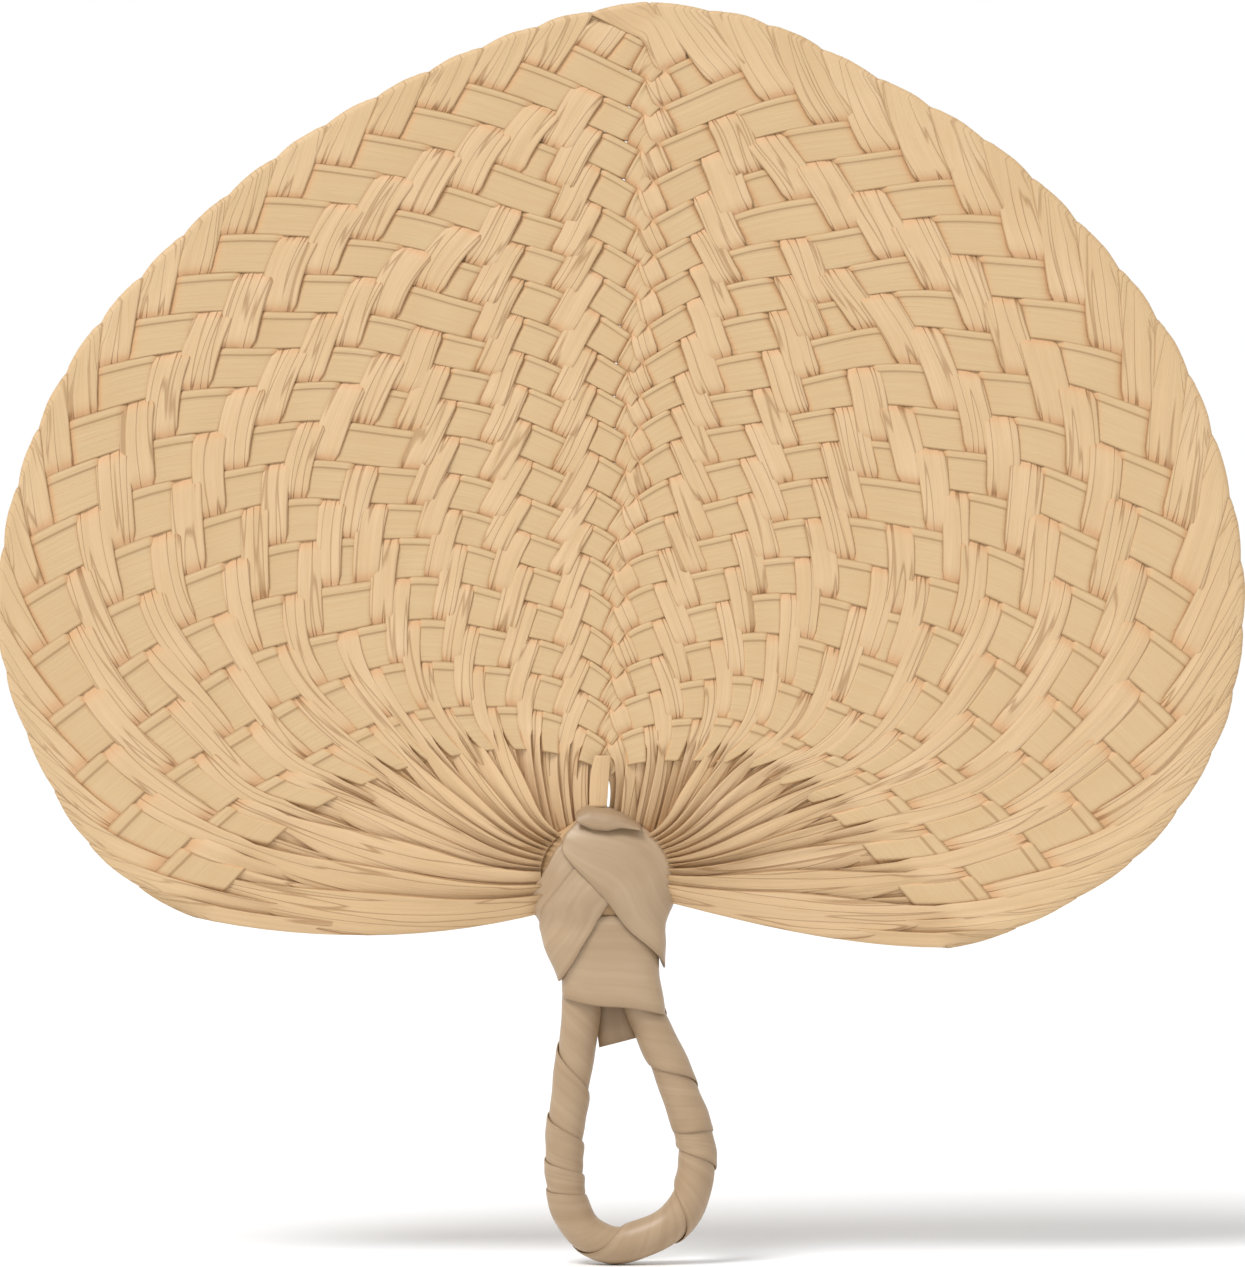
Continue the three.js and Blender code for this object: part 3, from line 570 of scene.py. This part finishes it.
clouded = node(tree, "Mix", {"Factor": (cloud_tone, "Result"), "A": (plain, "Result")},
              {"B": linear(TAPE_CLOUD)}, data_type="RGBA")
tint = node(tree, "Attribute", attribute_name="tint")
shadow = node(tree, "SeparateXYZ", {"Vector": (tint, "Vector")})
# Painted shade: the first mark darkens the tape toward dark brown.
tape_shaded = node(tree, "Mix", {"Factor": (shadow, "X"), "A": (clouded, "Result")}, {"B": linear(TAPE_SHADE)},
             data_type="RGBA")
crease = node(tree, "Bump", {"Height": (lines, "Fac")}, {"Strength": 0.15, "Distance": 0.0002})
tree.links.new(tape_shaded.outputs["Result"], surface.inputs["Base Color"])
tree.links.new(crease.outputs["Normal"], surface.inputs["Normal"])
surface.inputs["Roughness"].default_value = 0.42
surface.inputs["IOR"].default_value = 1.47


def taped(name, outer, inner, marks, *nodes):
    """Closed strip of tape between an outer and an inner grid of points, riding with the fan."""
    made = piece(name, np.concatenate([outer, inner[:, ::-1]], 1),
                 {key: np.concatenate([value, value[:, ::-1]], 1) for key, value in marks.items()})
    made.data.materials.append(tape)
    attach(made, "root")
    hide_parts(*nodes)
    return made


def seen(x, z, lift):
    """Turn and height of the point that is seen on the front of the neck at x and z."""
    middle, wide, _ = neck_size(z)
    part = np.clip((x - middle) / (wide + lift), -1, 1)
    return float(np.degrees(np.arcsin(np.sign(part) * abs(part)**(1 / squareness(z))))), z


def lap(name, edges, lift, seed, *nodes):
    """A lap of tape on the neck between two edges, each a row of (turn, height)."""
    a, b = (spline(edge, 8) for edge in edges)
    s = np.concatenate([[0, 0.02], np.linspace(0.08, 0.92, 12), [0.98, 1]])[None, :, None]
    turn_z = a[:, None] * (1 - s) + b[:, None] * s
    t = np.linspace(0, 1, len(a))[:, None]
    across = s[..., 0]
    wave = (np.sin(across * 11 + seed + 2.2 * np.sin(t * 5 + seed)) * 0.10
            + np.sin(across * 5 + t * 9 + seed * 3) * 0.12)
    edge = smooth(np.minimum(across, 1 - across) / 0.05)
    outer = on_neck(turn_z[..., 0], turn_z[..., 1], lift + TAPE_THICK * (0.55 + 0.45 * edge) + wave * edge)
    inner = on_neck(turn_z[..., 0], turn_z[..., 1], lift + 0 * wave)
    # Painted shadow along both edges of the lap.
    marks = {"fibre": stacked(t * 70, across * 16, 40.0 * seed),
             "tint": stacked(0.35 * (1 - edge) + 0 * t, 0.0, 0.0)}
    return taped(name, outer, inner, marks, *nodes)


turns = np.linspace(-175, 186, 40)
head = 1.5 + 0 * turns
foot = -24.2 - 2.4 * np.sin(np.radians(turns))
band = [np.stack([turns, edge], -1) for edge in (head, foot)]
lap("level_band", band, BAND_LIFT, 1.0, "neck_wrap_lower")

lap("left_sling_under", [
    [seen(-4.8, 23.7, 1), seen(-12.7, 21.7, 1), seen(-17.5, 14.1, 1), seen(-21.7, 6.5, 1),
     (-92, 3.6), (-140, 11), (-180, 19), (-215, 25)],
    [seen(2.3, 14.1, 1), seen(-6.2, 8.5, 1), seen(-10.4, 4.2, 1), seen(-14.4, 0.6, 1),
     (-92, -5), (-140, 3), (-180, 11), (-215, 18)]], UNDER_LIFT, 2.0, "neck_wrap_left")
lap("left_sling_over", [
    [seen(-2.0, 21.2, 2), seen(-9.3, 14.7, 2), seen(-13.3, 9.9, 2), seen(-17.5, 4.8, 2),
     (-92, -1.5), (-140, 5), (-180, 14), (-215, 21)],
    [seen(9.3, 14.7, 2), seen(0.6, 4.8, 2), seen(-4.8, -3.7, 2), seen(-9.0, -10.7, 2),
     (-92, -17), (-140, -9), (-180, 2), (-215, 10)]], OVER_LIFT, 3.0, "neck_wrap_left")
lap("right_hood", [
    [seen(-12.7, 19.8, 2.4), seen(-4.8, 10.7, 2.4), seen(0.6, 4.8, 2.4), seen(7.9, -4.0, 2.4),
     (84, -12.7), (110, -13), (145, -4), (180, 6), (220, 15)],
    [seen(-6.8, 30.4, 2.4), seen(3.0, 29.4, 2.4), seen(11.0, 25.8, 2.4), seen(16.5, 20.6, 2.4),
     (88, 14.5), (100, 7), (140, 13), (180, 22), (220, 27)]], HOOD_LIFT, 4.0, "neck_wrap_right")

# The cap: the last end of the tape, folded over the top of the neck in front of the centre slit and pressed
# down into a narrow roll; shade is painted over all of it, so it shows darker.
CAP_LEFT, CAP_RIGHT = -8.6, 9.6
x = np.linspace(CAP_LEFT, CAP_RIGHT, 26)[:, None]
low = np.interp(x, [CAP_LEFT, -4, 0, 4, CAP_RIGHT], [28.0, 26.4, 26.0, 26.6, 25.6])
top = np.interp(x, [CAP_LEFT, -7, -4.8, 0.8, 5, CAP_RIGHT], [30.6, 31.8, 32.9, 32.0, 30.0, 27.0])
deep = np.interp(x, [CAP_LEFT, 0, CAP_RIGHT], [6.6, 7.6, 7.4])
phi = np.radians(np.linspace(-96, 96, 22))[None, :]
outer = stacked(x, deep * np.sin(phi), low + (top - low) * np.cos(phi))
inner = stacked(x, (deep - TAPE_THICK) * np.sin(phi), low + (top - low - TAPE_THICK) * np.cos(phi))
marks = {"fibre": stacked(x, phi * 6, 210.0),
         "tint": np.broadcast_to([0.3, 0.0, 0.0], outer.shape)}
cap = taped("neck_cap_fold", outer, inner, marks, "neck_cap")

# The finger loop: a bent cane, its two ends bound into the foot of the neck, wound from end to end with the
# same tape. Every turn laps the one before it, so a slanting edge shows each time round.
LOOP = [(-6.8, -16.0), (-7.1, -22.6), (-9.6, -43.8), (-11.6, -57.9), (-12.1, -69.2), (-10.7, -80.5),
        (-6.2, -88.1), (1.4, -91.5), (10.7, -89.8), (19.4, -84.7), (24.6, -74.8), (25.4, -64.9),
        (23.5, -56.5), (18.8, -43.8), (13.9, -32.5), (9.6, -22.6), (8.5, -16.0)]
CANE_RADIUS = 4.2
CANE_CLEAR, LAP_RISE, LAP_OVER, WINDING_THICK = 0.3, 0.75, 3.5, 0.45
SEAMS = [-34, -14, 8, 33, 47, 56.5, 63, 87, 112, 125, 130, 152, 174, 196]  # along the cane, one for each turn
STEPS_PER_TURN = 28

# Peeled cane: a plain pale brown rod. It is covered, so it only closes the inside of the winding.
cane, tree, surface = blank_material("peeled_cane")
surface.inputs["Base Color"].default_value = linear("b99766")
surface.inputs["Roughness"].default_value = 0.6
cane_node = bpy.data.objects["loop_core"]
cane_node.data.materials.clear()
cane_node.data.materials.append(cane)
loop_line = measured(spline(LOOP, 30))


def on_loop(d):
    return [np.interp(d, loop_line[:, 0], loop_line[:, k]) for k in (1, 2)]


turn_number = np.arange(0, len(SEAMS) - 2, 1 / STEPS_PER_TURN)
trail = np.interp(turn_number, np.arange(len(SEAMS)), SEAMS)[:, None]
lead = np.interp(turn_number + 1, np.arange(len(SEAMS)), SEAMS)[:, None] + LAP_OVER
s = np.concatenate([[0, 0.015], np.linspace(0.05, 0.95, 12), [1]])[None, :]
d = np.clip(trail + (lead - trail) * s, 0, loop_line[-1, 0])
angle = (turn_number * 2 * np.pi)[:, None]
place = on_loop(d)
ahead = [a - b for a, b in zip(on_loop(d + 0.5), on_loop(d - 0.5))]
size = np.hypot(*ahead)
inward = [-ahead[1] / size, ahead[0] / size]
pucker = 0.12 * np.sin(angle * 2 + s * 5) * smooth(s / 0.1) + 0.08 * np.sin(s * 14 + angle * 3)
rim_in = CANE_RADIUS + CANE_CLEAR + LAP_RISE * (1 - s) + 0 * angle
rim_out = rim_in + WINDING_THICK * (0.6 + 0.4 * smooth(s / 0.03)) + pucker


def round_cane(radius):
    return np.stack([place[0] + inward[0] * radius * np.cos(angle), radius * np.sin(angle) + 0 * s,
                     place[1] + inward[1] * radius * np.cos(angle)], -1)


# Painted shade: a dark line along each seam, where one turn laps the one before, and a little over the whole
# loop.
marks = {"fibre": stacked(angle * 5, s * 20, 150.0),
         "tint": stacked(0.12 + 0.35 * (1 - smooth(s / 0.04)) + 0 * angle, 0.0, 0.0)}
taped("loop_winding", round_cane(rim_out), round_cane(rim_in), marks, "loop_tape")

# The tail: the cut end of the winding tape, left hanging between the legs of the loop; their shade on it is
# painted in, so it shows darker.
TAIL = np.array([[(-4.2, -20.0), (6.6, -20.0)], [(-3.8, -24.0), (6.8, -24.0)], [(-3.0, -30.0), (8.0, -29.0)],
                 [(-2.2, -36.1), (9.0, -33.2)]])  # left and right edge, each x and height
TAIL_Y, TAIL_BOW, TAIL_FORWARD = 2.6, 0.5, 0.3
outer = np.empty((len(TAIL), 6, 3))
share = np.linspace(0, 1, 6)
for row, (a, b) in enumerate(TAIL):
    outer[row, :, 0] = a[0] + (b[0] - a[0]) * share
    outer[row, :, 2] = a[1] + (b[1] - a[1]) * share
    outer[row, :, 1] = TAIL_Y - TAIL_BOW * np.sin(share * 3.14) - TAIL_FORWARD * row
inner = outer + (0, TAPE_THICK, 0)
marks = {"fibre": stacked(np.arange(len(TAIL))[:, None] * 5.0, share * 6, 90.0),
         "tint": np.broadcast_to([0.45, 0.0, 0.0], outer.shape)}
tail = taped("tape_end", outer, inner, marks, "tape_tail")

# Stage: a pale floor under the loop, an even white surround, a soft key from the upper left and the camera
# square in front of the blade, as the photograph is framed.
SURROUND_LIGHT, SURROUND_SEEN = 0.66, 1.0
KEY_ENERGY, KEY_SOFTNESS, KEY_TILT, KEY_TURN = 2.05, 24, 37, -38
FRAME_HEIGHT, CAMERA_AWAY, SENSOR_MM = 0.3577, 1.8, 36
floor_z = cad_box[0][2]
bpy.ops.mesh.primitive_plane_add(size=12, location=(0, 0, floor_z))
floor = bpy.context.object
floor.name = "floor"
paper, tree, surface = blank_material("white_paper")
surface.inputs["Base Color"].default_value = linear("fcfcfc")
surface.inputs["Roughness"].default_value = 0.9
floor.data.materials.append(paper)
world = bpy.data.worlds.new("surround")
world.use_nodes = True
bpy.context.scene.world = world
tree = world.node_tree
tree.nodes.clear()
rays = node(tree, "LightPath")
shiny = node(tree, "Math", {0: (rays, "Is Camera Ray"), 1: (rays, "Is Glossy Ray")}, operation="MAXIMUM")
clear = node(tree, "Math", {0: (shiny, 0), 1: (rays, "Is Transmission Ray")}, operation="MAXIMUM")
strength = node(tree, "MapRange", {"Value": (clear, 0)}, {"To Min": SURROUND_LIGHT, "To Max": SURROUND_SEEN})
sky = node(tree, "Background", {"Strength": (strength, "Result")}, {"Color": (1, 1, 1, 1)})
node(tree, "OutputWorld", {"Surface": (sky, "Background")})
key = bpy.data.objects.new("key", bpy.data.lights.new("key", "SUN"))
key.data.energy = KEY_ENERGY
key.data.angle = math.radians(KEY_SOFTNESS)
key.rotation_euler = (math.radians(KEY_TILT), 0, math.radians(KEY_TURN))
bpy.context.scene.collection.objects.link(key)
camera = bpy.data.objects.new("camera", bpy.data.cameras.new("camera"))
camera.data.sensor_fit = "VERTICAL"
camera.data.sensor_height = SENSOR_MM
camera.data.lens = SENSOR_MM * CAMERA_AWAY / FRAME_HEIGHT
camera.location = (0.0044, -CAMERA_AWAY, 0.0809)
camera.rotation_euler = (math.radians(90), 0, 0)
bpy.context.scene.collection.objects.link(camera)
bpy.context.scene.camera = camera
bpy.context.scene.view_settings.view_transform = "Standard"
